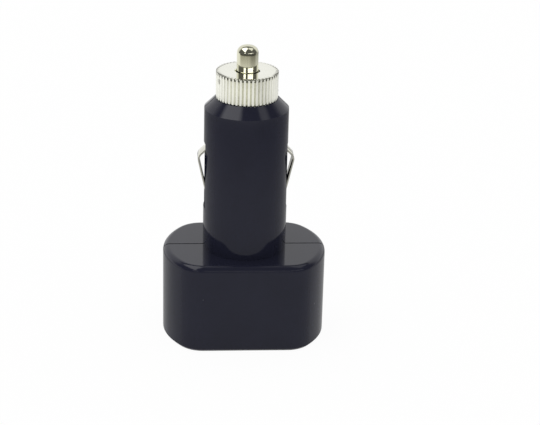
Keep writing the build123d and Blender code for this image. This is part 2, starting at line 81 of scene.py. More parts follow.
class Wire:
    """A socket in a node tree. Sums, differences and products of wires and numbers add Math nodes."""

    def __init__(self, tree, socket=None):
        self.tree = tree
        self.socket = socket

    def node(self, kind, settings, inputs, output=0):
        """Adds a node of that kind, gives it its settings, then sets or links its sockets."""
        made = self.tree.nodes.new("ShaderNode" + kind)
        for name, value in settings.items():
            setattr(made, name, value)
        for name, value in inputs.items():
            if isinstance(value, Wire):
                self.tree.links.new(value.socket, made.inputs[name])
            else:
                made.inputs[name].default_value = value
        return Wire(self.tree, made.outputs[output] if made.outputs else None)

    def math(self, operation, first, second):
        """Adds a Math node for two wires or numbers."""
        return self.node("Math", {"operation": operation}, {0: first, 1: second})

    def __add__(self, other):
        return self.math("ADD", self, other)

    def __radd__(self, other):
        return self.math("ADD", other, self)

    def __sub__(self, other):
        return self.math("SUBTRACT", self, other)

    def __rsub__(self, other):
        return self.math("SUBTRACT", other, self)

    def __mul__(self, other):
        return self.math("MULTIPLY", self, other)

    def __lt__(self, other):
        return self.math("LESS_THAN", self, other)

    def __gt__(self, other):
        return self.math("GREATER_THAN", self, other)

    def steps(self, value, start, result):
        """Smooth step between the two results, as value runs between the two starts."""
        ends = {"From Min": start[0], "From Max": start[1], "To Min": result[0], "To Max": result[1]}
        return self.node("MapRange", {"interpolation_type": "SMOOTHSTEP"}, {"Value": value, **ends})

    def colours(self, share, first, second):
        """Colour that runs from the first to the second as share goes from 0 to 1."""
        return self.node("Mix", {"data_type": "RGBA"}, {0: share, 6: first, 7: second}, 2)

    def noise(self, spot, scale, detail):
        """Cloudy noise between 0 and 1."""
        return self.node("TexNoise", {}, {"Vector": spot, "Scale": scale, "Detail": detail})

    def cells(self, spot, scale):
        """Distance to the nearest of many scattered points."""
        return self.node("TexVoronoi", {}, {"Vector": spot, "Scale": scale}, "Distance")

    def bump(self, height, strength, distance):
        """Normal of a surface that rises and falls with height."""
        return self.node("Bump", {}, {"Strength": strength, "Distance": distance, "Height": height})

    def surface(self, sockets):
        """Ends a finish with one Principled shader."""
        self.node("OutputMaterial", {}, {"Surface": self.node("BsdfPrincipled", {}, sockets)})


def start_finish(name):
    """An empty material, a wire to add its nodes with, and its place on the object."""
    finish = bpy.data.materials.new(name)
    finish.use_nodes = True
    finish.node_tree.nodes.clear()
    wire = Wire(finish.node_tree)
    return finish, wire, wire.node("TexCoord", {}, {}, "Object")


def polished_black():
    """Black ABS off a polished mould: a mirror gloss with faint sink waves, fine rubs and a few dust specks.
    The groove along the glued joint is painted matt and darker, as painted shade in the groove."""
    finish, wire, spot = start_finish("polished_black")
    cloud = wire.noise(spot, scale=110.0, detail=2.0)
    rubs = wire.noise(spot, scale=1400.0, detail=5.0)
    specks = (wire.cells(spot, scale=190.0) < speck_size) * (cloud > speck_patches)
    gloss = {
        "Base Color": wire.colours(specks * speck_cover, wire.colours(cloud, *abs_blacks), dust_grey),
        "Roughness": 0.05 + rubs * 0.06 + specks * 0.3,
        "IOR": 1.4,
        "Normal": wire.bump(cloud, strength=0.12, distance=0.02 * mm),
    }
    # Painted shade: the groove along the glued joint gets a matt, near-black finish in place of the gloss.
    depth = wire.node("SeparateXYZ", {}, {"Vector": spot}, "Y")
    seam_shade_mask = (depth > -seam_half) * (depth < seam_half)
    matt = wire.node("BsdfDiffuse", {}, {"Color": seam_shade_black})
    polished = wire.node("BsdfPrincipled", {}, gloss)
    joined = wire.node("MixShader", {}, {0: seam_shade_mask, 1: polished, 2: matt})
    wire.node("OutputMaterial", {}, {"Surface": joined})
    return finish


def smooth_walls():
    """Node group that shades faces smooth, and keeps edges sharp that turn by more than the crease angle."""
    group = bpy.data.node_groups.new("smooth_walls", "GeometryNodeTree")
    for way in ("INPUT", "OUTPUT"):
        group.interface.new_socket("Geometry", in_out=way, socket_type="NodeSocketGeometry")
    enter = group.nodes.new("NodeGroupInput")
    leave = group.nodes.new("NodeGroupOutput")
    faces = group.nodes.new("GeometryNodeSetShadeSmooth")
    edges = group.nodes.new("GeometryNodeSetShadeSmooth")
    edges.domain = "EDGE"
    edges.inputs["Shade Smooth"].default_value = False
    angle = group.nodes.new("GeometryNodeInputMeshEdgeAngle")
    creased = group.nodes.new("FunctionNodeCompare")
    creased.operation = "GREATER_THAN"
    creased.inputs["B"].default_value = crease_angle
    group.links.new(enter.outputs["Geometry"], faces.inputs["Geometry"])
    group.links.new(faces.outputs["Geometry"], edges.inputs["Geometry"])
    group.links.new(angle.outputs["Unsigned Angle"], creased.inputs["A"])
    group.links.new(creased.outputs["Result"], edges.inputs["Selection"])
    group.links.new(edges.outputs["Geometry"], leave.inputs["Geometry"])
    return group


wall_shading = smooth_walls()


def dress(node, finish):
    """Gives a solid of the frame its finish, and shades its curved walls smooth."""
    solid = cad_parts[node]
    solid.material_slots[0].link = "OBJECT"
    solid.material_slots[0].material = finish
    solid.modifiers.new("weld", "WELD").merge_threshold = weld_distance
    solid.modifiers.new("smooth_walls", "NODES").node_group = wall_shading
    normals = solid.modifiers.new("flat_faces_lead", "WEIGHTED_NORMAL")
    normals.keep_sharp = True


housing_finish = polished_black()
for half in ("housing_front", "housing_rear"):
    dress(half, housing_finish)

# A single rounded thread runs up the neck of the housing, moulded with it in black ABS.
# The cap hides it until it is unscrewed.
neck_radius = 6.2 * mm
thread_height = 0.18 * mm
thread_root = 0.06 * mm
thread_half_width = 0.32 * mm
thread_pitch = 1.1 * mm
thread_turns = 2.6
thread_start = 60.8 * mm
thread_runout = 0.12
thread_steps = 220
thread_columns = 9
merge_distance = 0.001 * mm


def skin(name, points, rows_close):
    """Closed mesh over a grid of points, rows by columns: each cell is a quad, the columns close round, the
    rows too if rows_close says so. Points that meet, as at a pole, are merged, and faces look outwards."""
    rows, columns = points.shape[:2]
    here = np.arange(rows * columns).reshape(rows, columns)
    beside = np.roll(here, -1, 1)
    quads = np.stack([here, beside, np.roll(beside, -1, 0), np.roll(here, -1, 0)], -1)
    quads = quads[: rows if rows_close else rows - 1].reshape(-1, 4)
    mesh = bpy.data.meshes.new(name)
    mesh.from_pydata(points.reshape(-1, 3).tolist(), [], quads.tolist())
    work = bmesh.new()
    work.from_mesh(mesh)
    bmesh.ops.remove_doubles(work, verts=work.verts, dist=merge_distance)
    bmesh.ops.recalc_face_normals(work, faces=work.faces)
    work.to_mesh(mesh)
    work.free()
    mesh.shade_smooth()
    mesh.set_sharp_from_angle(angle=crease_angle)
    piece = bpy.data.objects.new(name, mesh)
    bpy.context.scene.collection.objects.link(piece)
    return piece


def place(piece, finish, slot, body, *nodes):
    """Gives a piece its finish, ties it to a body, and lets it replace solids. The slot is not used."""
    piece.data.materials.append(finish)
    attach(piece, body)
    if nodes:
        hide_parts(*nodes)


def thread_points():
    """Helix with a section of half a cosine wave: the ridge is highest in its middle, sinks into the neck at
    both feet, and fades out at both ends. Rows run along it, columns across the ridge and back under it."""
    along = np.linspace(0, 1, thread_steps)[:, None]
    across = np.linspace(-1, 1, thread_columns)
    fade = np.clip(np.minimum(along, 1 - along) / thread_runout, 0, 1)
    bulge = thread_height * fade * np.cos(across * pi / 2) - thread_root * np.abs(across)
    under = np.full((thread_steps, 1), -2 * thread_root)
    radius = neck_radius + np.hstack([bulge, under])
    turn = 2 * pi * thread_turns * along
    offset = np.append(across, 0) * thread_half_width
    height = thread_start + thread_pitch * thread_turns * along + offset
    points = np.stack(np.broadcast_arrays(radius * np.cos(turn), radius * np.sin(turn), height), -1)
    ends = points[[0, -1]].mean(1, keepdims=True) + np.zeros((1, points.shape[1], 1))
    return np.concatenate([ends[:1], points, ends[1:]])


place(skin("neck_thread", thread_points(), False), housing_finish, "black_abs", "housing")

# The cap is turned from brass bar, knurled straight along its side, drilled for the pin and nickel
# plated. It screws onto the neck and keeps the centre contact in.
cap_low, cap_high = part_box("knurled_cap")
cap_radius = 7.35 * mm
cap_clearance = 0.25 * mm
cap_bore = neck_radius + cap_clearance
cap_hole = 2.95 * mm
cap_roof = 1.1 * mm
cap_edge = 0.12 * mm
cap_edge_steps = 7
cap_foot = 0.1 * mm
cap_foot_steps = 4
cap_wall_steps = 12
knurl_teeth = 48
knurl_depth = 0.4 * mm
knurl_crest = 0.5
knurl_samples = 16
notch_depth = 0.28 * mm
notch_height = 0.3 * mm
notch_steps = 6
plate_nickels = ((0.89, 0.89, 0.79, 1), (0.97, 0.97, 0.89, 1))
# Painted shade in the knurl grooves and along the upper edge: a brown darkening that is patchy in strength.
groove_shade_brown = (0.2, 0.19, 0.15, 1)
groove_shade_patches = (0.42, 0.6)
groove_shade_cover = (0.07, 0.26)
edge_shade = 3.4
mark_brown = (0.16, 0.15, 0.12, 1)
pit_size = 0.09
pit_patches = 0.56
pit_cover = 0.55
scuff_place = (-6.8 * mm, -2.8 * mm, 64.6 * mm)
scuff_reach = (0.2 * mm, 0.9 * mm)
scuff_grain = (0.3, 0.7)
scuff_levels = (0.4, 1.0)
scuff_cover = 0.5


def satin_nickel():
    """Nickel plate on knurled brass: pale and slightly warm, with faint turning rings, a few pits, painted
    shade in some of the grooves and along the upper edge, and one scuff across the teeth on the left."""
    finish, wire, spot = start_finish("satin_nickel")
    cloud = wire.noise(spot, scale=260.0, detail=4.0)
    grain = wire.noise(spot, scale=3800.0, detail=3.0)
    rings = wire.node(
        "TexWave",
        {"wave_type": "RINGS", "rings_direction": "Z"},
        {"Vector": spot, "Scale": 900.0, "Distortion": 1.5, "Detail": 2.0},
    )
    groove = wire.node("Attribute", {"attribute_name": "groove"}, {}, "Fac")
    pits = (wire.cells(spot, scale=420.0) < pit_size) * (cloud > pit_patches)
    from_scuff = wire.node("VectorMath", {"operation": "DISTANCE"}, {0: spot, 1: scuff_place}, "Value")
    scuff = wire.steps(from_scuff, scuff_reach, (1.0, 0.0)) * wire.steps(grain, scuff_grain, scuff_levels)
    marks = wire.math("MAXIMUM", pits * pit_cover, scuff * scuff_cover)
    # Painted shade: points in the grooves and on the upper edge are darkened towards brown, more in some
    # patches.
    groove_shade = groove * wire.steps(cloud, groove_shade_patches, groove_shade_cover)
    plate = wire.colours(groove_shade, wire.colours(cloud, *plate_nickels), groove_shade_brown)
    metal = {
        "Base Color": wire.colours(marks, plate, mark_brown),
        "Metallic": 1.0,
        "Roughness": 0.07 + cloud * 0.08 + groove * 0.03 + marks * 0.5,
        "Normal": wire.bump(grain + rings * 0.4, strength=0.12, distance=0.005 * mm),
    }
    wire.surface(metal)
    return finish


def cap_points():
    """Closed turning: up the outside, in over the top, down through the hole, under the roof and down the
    bore. The outside is cut back by the knurl, a row of flat teeth whose grooves open into a notch at the
    top. A bevel ends it below, and above an edge round as a quarter circle follows the teeth. Also gives how
    much painted shade each point takes: in the grooves and, most strongly, along the upper edge."""
    turn = np.linspace(0, 2 * pi, knurl_teeth * knurl_samples, endpoint=False)
    phase = 1 - np.abs((turn * knurl_teeth / (2 * pi)) % 1 - 0.5) * 2
    flank = np.clip((phase - knurl_crest) / (1 - knurl_crest), 0, 1)
    low, high = cap_low.z, cap_high.z
    over = np.linspace(0, pi / 2, cap_edge_steps)
    foot = np.linspace(low, low + cap_foot, cap_foot_steps)
    wall = np.linspace(low, high - notch_height, cap_wall_steps)[1:]
    notch = np.linspace(high - notch_height, high - cap_edge, notch_steps)[1:-1]
    side_height = np.concatenate([foot, wall, notch, high - cap_edge * (1 - np.sin(over))])
    edge_cut = np.concatenate([0 * foot, 0 * wall, 0 * notch, cap_edge * (1 - np.cos(over))])
    foot_cut = np.clip(cap_foot - (side_height - low), 0, None)
    opening = np.clip(1 - (high - side_height) / notch_height, 0, 1)
    cut = flank * (knurl_depth + notch_depth * opening[:, None])
    side_radius = np.minimum(cap_radius - foot_cut[:, None], cap_radius - cut) - edge_cut[:, None]
    inner = np.array(
        [
            [cap_radius - knurl_depth - notch_depth - 2 * cap_edge, high],
            [0.5 * (cap_radius + cap_hole), high],
            [cap_hole + cap_foot, high],
            [cap_hole, high - cap_foot],
            [cap_hole, high - cap_roof],
            [0.5 * (cap_hole + cap_bore), high - cap_roof],
            [cap_bore, high - cap_roof],
            [cap_bore, 0.5 * (low + high)],
            [cap_bore, low],
        ]
    )
    inner_radius = np.broadcast_to(inner[:, :1], (len(inner), len(turn)))
    radius = np.vstack([side_radius, inner_radius])
    height = np.concatenate([side_height, inner[:, 1]])[:, None]
    grid = np.broadcast_arrays(radius * np.cos(turn), radius * np.sin(turn), height)
    # Painted shade weight: the flanks of the grooves, and the rounded upper edge most of all.
    shade_weight = np.maximum(flank**2, edge_shade * (edge_cut > 0)[:, None])
    return np.stack(grid, -1), np.vstack([shade_weight, 0 * inner_radius])


cap_grid, cap_shade_weight = cap_points()
cap = skin("cap_turned", cap_grid, True)
groove = cap.data.attributes.new("groove", "FLOAT", "POINT")
groove.data.foreach_set("value", cap_shade_weight.ravel().astype(np.float32))
place(cap, satin_nickel(), "satin_nickel", "cap", "knurled_cap")

# The centre contact is turned from brass and bright nickel plated: a pin with a crowned, round-edged end
# on a flange that the cap holds, with a boss below that presses on the fuse.
tip_low, tip_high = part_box("tip_contact")
pin_radius = 2.55 * mm
pin_crown = 0.9 * mm
pin_crown_steps = 13
pin_edge = 1.8 * mm
pin_edge_steps = 17
pin_warmth = 0.17
flange_radius = 4.3 * mm
flange_height = 1.3 * mm
boss_radius = 2.8 * mm
boss_height = 1.0 * mm
turned_edge = 0.15 * mm
turned_edge_steps = 5
turned_columns = 96


def bright_nickel(name, warm):
    """Bright nickel plate: a mirror with fine hairlines and slight clouding. Warm takes blue out of it."""
    finish, wire, spot = start_finish(name)
    cloud = wire.noise(spot, scale=300.0, detail=3.0)
    hairs = wire.noise(spot, scale=5200.0, detail=4.0)
    metal = {
        "Base Color": wire.colours(cloud, (0.69, 0.68, 0.69 - warm, 1), (0.78, 0.77, 0.78 - warm, 1)),
        "Metallic": 1.0,
        "Roughness": 0.03 + cloud * 0.04 + hairs * 0.04,
        "Normal": wire.bump(hairs, strength=0.05, distance=0.003 * mm),
    }
    wire.surface(metal)
    return finish


def turning(profile, columns):
    """Surface of revolution: every profile point, radius and height, carried round the plug axis."""
    turn = np.linspace(0, 2 * pi, columns, endpoint=False)
    radius, height = profile[:, :1], profile[:, 1:]
    grid = np.broadcast_arrays(radius * np.cos(turn), radius * np.sin(turn), height)
    return np.stack(grid, -1)


def rounded(corners, radius):
    """Profile through the corners with each inner corner rounded: a quadratic curve runs from radius before
    the corner to radius after it, with the corner as its control point."""
    corners = np.asarray(corners, float)
    before, corner, after = corners[:-2], corners[1:-1], corners[2:]
    into = before - corner
    out = after - corner
    into = into / np.linalg.norm(into, axis=1, keepdims=True)
    out = out / np.linalg.norm(out, axis=1, keepdims=True)
    share = np.linspace(0, 1, turned_edge_steps)[None, :, None]
    first, last = (corner + into * radius)[:, None], (corner + out * radius)[:, None]
    curve = (1 - share) ** 2 * first + 2 * share * (1 - share) * corner[:, None] + share**2 * last
    return np.vstack([corners[:1], curve.reshape(-1, 2), corners[-1:]])


def tip_profile():
    """Boss, flange and pin with small rounded edges. The pin ends in an arc round its edge, which runs on
    into the flatter arc of the crown up to the axis. Two points along the stem keep its shading straight."""
    flange_top = tip_low.z + boss_height + flange_height
    crown_radius = (pin_radius**2 + pin_crown**2) / (2 * pin_crown)
    crown_centre = tip_high.z - crown_radius
    edge_centre = pin_radius - pin_edge
    lean = np.arccos(edge_centre / (crown_radius - pin_edge))
    edge_height = crown_centre + (crown_radius - pin_edge) * np.sin(lean)
    stem = rounded(
        [
            (0, tip_low.z),
            (boss_radius, tip_low.z),
            (boss_radius, tip_low.z + boss_height),
            (flange_radius, tip_low.z + boss_height),
            (flange_radius, flange_top),
            (pin_radius, flange_top),
            (pin_radius, flange_top + 4 * turned_edge),
            (pin_radius, edge_height - 2 * turned_edge),
            (pin_radius, edge_height),
        ],
        turned_edge,
    )
    round_turn = np.linspace(0, lean, pin_edge_steps)[1:]
    crown_turn = np.linspace(lean, pi / 2, pin_crown_steps)[1:]
    edge = (edge_centre, edge_height) + pin_edge * np.stack([np.cos(round_turn), np.sin(round_turn)], -1)
    crown = (0, crown_centre) + crown_radius * np.stack([np.cos(crown_turn), np.sin(crown_turn)], -1)
    return np.vstack([stem, edge, crown])


tip = skin("tip_turned", turning(tip_profile(), turned_columns), False)
place(tip, bright_nickel("bright_nickel_pin", pin_warmth), "bright_nickel", "tip", "tip_contact")

# The side contacts are strips of spring steel, stamped, bent and nickel plated. Each is soldered at its foot
# inside the barrel and stands out of its slot, where the socket presses it in.
strip_low, strip_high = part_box("side_contact_right")
strip_width = strip_high.y - strip_low.y
strip_thickness = 0.4 * mm
strip_edge = 0.12 * mm
strip_edge_steps = 4
strip_line = np.array([(8.9, 47.9), (11.45, 45.4), (8.65, 32.9), (5.8, 32.9)]) * mm
strip_bends = (1.8 * mm, 0.6 * mm)
strip_bend_steps = 12
strip_warmth = 0.1


def strip_path():
    """Middle line of the strip, seen from the front: straight runs joined by circular bends."""
    pieces = [strip_line[:1]]
    for corner, radius in zip((1, 2), strip_bends):
        back = strip_line[corner - 1] - strip_line[corner]
        ahead = strip_line[corner + 1] - strip_line[corner]
        back, ahead = back / np.linalg.norm(back), ahead / np.linalg.norm(ahead)
        half = np.arccos(back @ ahead) / 2
        middle = (back + ahead) / np.linalg.norm(back + ahead)
        centre = strip_line[corner] + middle * radius / np.sin(half)
        swing = np.linspace(half - pi / 2, pi / 2 - half, strip_bend_steps)[:, None]
        side = (ahead - back) / np.linalg.norm(ahead - back)
        pieces.append(centre + radius * (side * np.sin(swing) - middle * np.cos(swing)))
    pieces.append(strip_line[-1:])
    return np.vstack(pieces)


def strip_points(side):
    """Flat section with rounded edges carried along the bent line; both ends are closed. Side is 1 for the
    right contact and -1 for the left one."""
    path = strip_path()
    ahead = np.gradient(path, axis=0)
    ahead = ahead / np.linalg.norm(ahead, axis=1, keepdims=True)
    across = np.stack([ahead[:, 1], -ahead[:, 0]], -1)
    half_width, half_thickness = strip_width / 2, strip_thickness / 2
    round_turn = np.linspace(0, pi / 2, strip_edge_steps)
    quarter = np.stack([np.cos(round_turn), np.sin(round_turn)], -1) * strip_edge
    quarter = quarter + (half_width - strip_edge, half_thickness - strip_edge)
    upper = np.vstack([quarter, quarter[::-1] * (-1, 1)])
    loop = np.vstack([upper, upper * (-1, -1)])
    width, depth = loop[:, 0], loop[:, 1][None, :, None]
    flat = path[:, None] + across[:, None] * depth
    points = np.stack([side * flat[..., 0], np.broadcast_to(width, flat.shape[:2]), flat[..., 1]], -1)
    ends = points[[0, -1]].mean(1, keepdims=True) + np.zeros((1, points.shape[1], 1))
    return np.concatenate([ends[:1], points, ends[1:]])


strip_finish = bright_nickel("bright_nickel_strip", strip_warmth)
for name, side in (("left", -1), ("right", 1)):
    strip = skin(f"strip_{name}", strip_points(side), False)
    place(strip, strip_finish, "bright_nickel", f"{name}_contact", f"side_contact_{name}")

# The glass fuse stands between the centre contact and the spring: a drawn glass tube with a tin-plated
# cap pressed on each end and a thin fuse wire soldered between them.
tin_greys = ((0.58, 0.58, 0.58, 1), (0.78, 0.78, 0.77, 1))
glass_greens = ((0.86, 0.93, 0.90, 1), (0.94, 0.97, 0.95, 1))
glass_draw = 0.02


def tinned_metal():
    """Tin plate: dull silver with a cloudy flow and soft roughness."""
    finish, wire, spot = start_finish("tinned_metal")
    cloud = wire.noise(spot, scale=700.0, detail=4.0)
    metal = {
        "Base Color": wire.colours(cloud, *tin_greys),
        "Metallic": 1.0,
        "Roughness": 0.22 + cloud * 0.2,
        "Normal": wire.bump(cloud, strength=0.2, distance=0.01 * mm),
    }
    wire.surface(metal)
    return finish


def drawn_glass():
    """Clear tube glass with a slight green tint and faint drawing streaks along the tube."""
    finish, wire, spot = start_finish("drawn_glass")
    drawn = wire.node("Mapping", {}, {"Vector": spot, "Scale": (1.0, 1.0, glass_draw)})
    streaks = wire.noise(drawn, scale=2500.0, detail=2.0)
    glass = {
        "Base Color": wire.colours(streaks, *glass_greens),
        "Roughness": 0.01 + streaks * 0.03,
        "IOR": 1.5,
        "Transmission Weight": 1.0,
    }
    wire.surface(glass)
    return finish


tin = tinned_metal()
dress("fuse_tube", drawn_glass())
for node in ("fuse_cap_lower", "fuse_cap_upper", "fuse_wire"):
    dress(node, tin)

# The coil spring under the fuse is wound from drawn steel wire. It stands on a brass plate, stamped with a
# tail that carries the positive wire, and gets shorter as the centre contact is pressed in.
spring_low, spring_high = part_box("contact_spring")
spring_radius = 2.2 * mm
spring_wire_radius = 0.34 * mm
spring_turns = 3.5
spring_steps = 200
spring_columns = 16
steel_greys = ((0.42, 0.42, 0.41, 1), (0.60, 0.60, 0.58, 1))
brass_yellows = ((0.62, 0.43, 0.17, 1), (0.78, 0.58, 0.27, 1))


def worked_metal(name, dark, pale, roughness, stretch):
    """Bare worked metal: colour and roughness vary with a grain, longer up the plug as stretch is less."""
    finish, wire, spot = start_finish(name)
    grained = wire.node("Mapping", {}, {"Vector": spot, "Scale": (1.0, 1.0, stretch)})
    grain = wire.noise(grained, scale=1800.0, detail=4.0)
    metal = {
        "Base Color": wire.colours(grain, dark, pale),
        "Metallic": 1.0,
        "Roughness": roughness + grain * 0.15,
        "Normal": wire.bump(grain, strength=0.15, distance=0.008 * mm),
    }
    wire.surface(metal)
    return finish


def coil_points():
    """Round wire carried along a helix: a circle in the plane of the radius and the slope's normal at every
    step, with both ends closed."""
    along = np.linspace(0, 1, spring_steps)[:, None]
    turn = 2 * pi * spring_turns * along
    low, high = spring_low.z + spring_wire_radius, spring_high.z - spring_wire_radius
    slope = np.arctan2(high - low, 2 * pi * spring_turns * spring_radius)
    section = np.linspace(0, 2 * pi, spring_columns, endpoint=False)
    out = spring_radius + spring_wire_radius * np.cos(section)
    lift = spring_wire_radius * np.sin(section)
    slide = -lift * np.sin(slope)
    x = out * np.cos(turn) - slide * np.sin(turn)
    y = out * np.sin(turn) + slide * np.cos(turn)
    z = low + (high - low) * along + lift * np.cos(slope)
    points = np.stack([x, y, z], -1)
    ends = points[[0, -1]].mean(1, keepdims=True) + np.zeros((1, spring_columns, 1))
    return np.concatenate([ends[:1], points, ends[1:]])


coil = skin("spring_wound", coil_points(), False)
steel = worked_metal("drawn_steel", *steel_greys, roughness=0.2, stretch=1.0)
place(coil, steel, "spring_steel", "housing", "contact_spring")
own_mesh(coil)
dress("spring_seat", worked_metal("rolled_brass", *brass_yellows, roughness=0.25, stretch=0.05))

# Stranded wires in soft insulation join the board, the brass plate and the feet of the side contacts: red to
# the centre contact, black to the sides. Their ends are stripped and soldered.
red_shades = ((0.38, 0.012, 0.012, 1), (0.5, 0.025, 0.02, 1))
black_shades = ((0.012, 0.012, 0.012, 1), (0.024, 0.024, 0.024, 1))


def soft_insulation(name, dark, pale):
    """Soft extruded insulation: satin, slightly mottled, with a fine grain."""
    finish, wire, spot = start_finish(name)
    cloud = wire.noise(spot, scale=500.0, detail=3.0)
    grain = wire.noise(spot, scale=6000.0, detail=2.0)
    rubber = {
        "Base Color": wire.colours(cloud, dark, pale),
        "Roughness": 0.4 + cloud * 0.15,
        "Normal": wire.bump(grain, strength=0.2, distance=0.01 * mm),
    }
    wire.surface(rubber)
    return finish


dress("positive_lead", soft_insulation("red_insulation", *red_shades))
black_insulation = soft_insulation("black_insulation", *black_shades)
for node in ("negative_lead", "ground_jumper"):
    dress(node, black_insulation)

# The window is a plate of dark red acrylic, cut to the display opening and laid on its lip, so that only
# the lit segments show through.
acrylic_reds = ((0.16, 0.012, 0.012, 1), (0.22, 0.02, 0.018, 1))


def smoked_acrylic():
    """Dark red acrylic: clear and glossy, with faint swirl marks from polishing."""
    finish, wire, spot = start_finish("smoked_acrylic")
    swirls = {"Vector": spot, "Scale": 350.0, "Detail": 5.0, "Distortion": 1.5}
    swirl = wire.node("TexNoise", {}, swirls)
    acrylic = {
        "Base Color": wire.colours(swirl, *acrylic_reds),
        "Roughness": 0.03 + swirl * 0.05,
        "IOR": 1.49,
        "Transmission Weight": 1.0,
    }
    wire.surface(acrylic)
    return finish


dress("display_window", smoked_acrylic())

# The display module is a moulded grey case with seven bars and a point for each digit, filled from behind
# with milky resin that carries the light, and closed by a small board with two rows of pins.
case_greys = ((0.07, 0.07, 0.075, 1), (0.1, 0.1, 0.105, 1))
resin_whites = ((0.6, 0.58, 0.53, 1), (0.68, 0.66, 0.62, 1))
mask_greens = ((0.012, 0.085, 0.03, 1), (0.02, 0.12, 0.045, 1))
track_green = (0.05, 0.22, 0.085, 1)
track_gaps = {"X": 0.9, "Y": 0.93}


def moulded(name, dark, pale, roughness):
    """Plain moulded or fired piece: fine matt grain with slight clouding."""
    finish, wire, spot = start_finish(name)
    cloud = wire.noise(spot, scale=400.0, detail=3.0)
    grain = wire.noise(spot, scale=4500.0, detail=3.0)
    body = {
        "Base Color": wire.colours(cloud, dark, pale),
        "Roughness": roughness + grain * 0.15,
        "Normal": wire.bump(grain, strength=0.25, distance=0.012 * mm),
    }
    wire.surface(body)
    return finish


def solder_mask():
    """Green board varnish over copper: tracks run along and across as slightly raised, paler lines."""
    finish, wire, spot = start_finish("solder_mask")
    bands = {"Vector": spot, "Scale": 120.0, "Distortion": 6.0}
    tracks = [wire.node("TexWave", {"bands_direction": way}, bands) > gap for way, gap in track_gaps.items()]
    copper = wire.math("MAXIMUM", *tracks)
    weave = wire.noise(spot, scale=2500.0, detail=2.0)
    varnish = {
        "Base Color": wire.colours(copper, wire.colours(weave, *mask_greens), track_green),
        "Roughness": 0.2 + weave * 0.12,
        "Normal": wire.bump(copper, strength=0.3, distance=0.02 * mm),
    }
    wire.surface(varnish)
    return finish


board_green = solder_mask()
dress("display_case", moulded("case_grey", *case_greys, roughness=0.35))
dress("display_segments", moulded("milky_resin", *resin_whites, roughness=0.25))
dress("display_base", board_green)
dress("display_pins", tin)

# The circuit board carries the display below and the measuring circuit on top: a controller chip with bent
# leads, a smoothing capacitor, a regulator, a diode and rows of small ceramic chips, all soldered flat.
epoxy_blacks = ((0.022, 0.022, 0.024, 1), (0.034, 0.034, 0.036, 1))
aluminium_greys = ((0.62, 0.62, 0.63, 1), (0.76, 0.76, 0.77, 1))
ceramic_darks = ((0.035, 0.035, 0.04, 1), (0.06, 0.06, 0.066, 1))
ceramic_tans = ((0.36, 0.25, 0.15, 1), (0.46, 0.34, 0.22, 1))
resistor_count = 6
filter_count = 2

dress("circuit_board", board_green)
epoxy = moulded("chip_epoxy", *epoxy_blacks, roughness=0.4)
for node in ("controller_chip", "capacitor_base", "regulator", "diode"):
    dress(node, epoxy)
for node in ("controller_leads", "regulator_tab", "diode_leads"):
    dress(node, tin)
dress("capacitor_can", worked_metal("drawn_aluminium", *aluminium_greys, roughness=0.22, stretch=0.05))
dark_chips = moulded("dark_ceramic", *ceramic_darks, roughness=0.3)
tan_chips = moulded("tan_ceramic", *ceramic_tans, roughness=0.35)
for number in range(resistor_count):
    dress(f"resistor_{number + 1}", dark_chips)
for number in range(filter_count):
    dress(f"filter_capacitor_{number + 1}", tan_chips)

# The plug stands on a wide pale table, which shows as white to the camera and keeps a faint shadow. In the
# plug's gloss its glow carries painted shade: grey around the plug, bright further out and dimmer on the
# right. Beyond its front edge lies a warm floor in painted shade that darkens further out, with a painted
# dark stripe for the leg of a stand.
table_size = 3.0
table_drop = 0.02 * mm
table_pales = ((0.80, 0.80, 0.80, 1), (0.83, 0.83, 0.83, 1))
table_glow = 0.95
# Painted shade in the table's glow as mirrors and glass see it: where it lies, how deep, and how strong.
near_shade_reach = (90 * mm, 165 * mm)
near_shade_levels = (0.46, 0.27)
bright_reach = (168 * mm, 180 * mm)
edge_reach = (200 * mm, 235 * mm)
front_reach = (50 * mm, -60 * mm)
floor_shade_cover = 0.75
floor_tint = (1, 0.96, 0.80, 1)
far_shade_reach = (232 * mm, 330 * mm)
far_shade_cover = 0.88
right_shade_reach = (20 * mm, 160 * mm)
right_shade_cover = 0.2
right_floor_shade_cover = 0.42
leg_sides = (-16 * mm, 4 * mm)
leg_shade_cover = 0.35


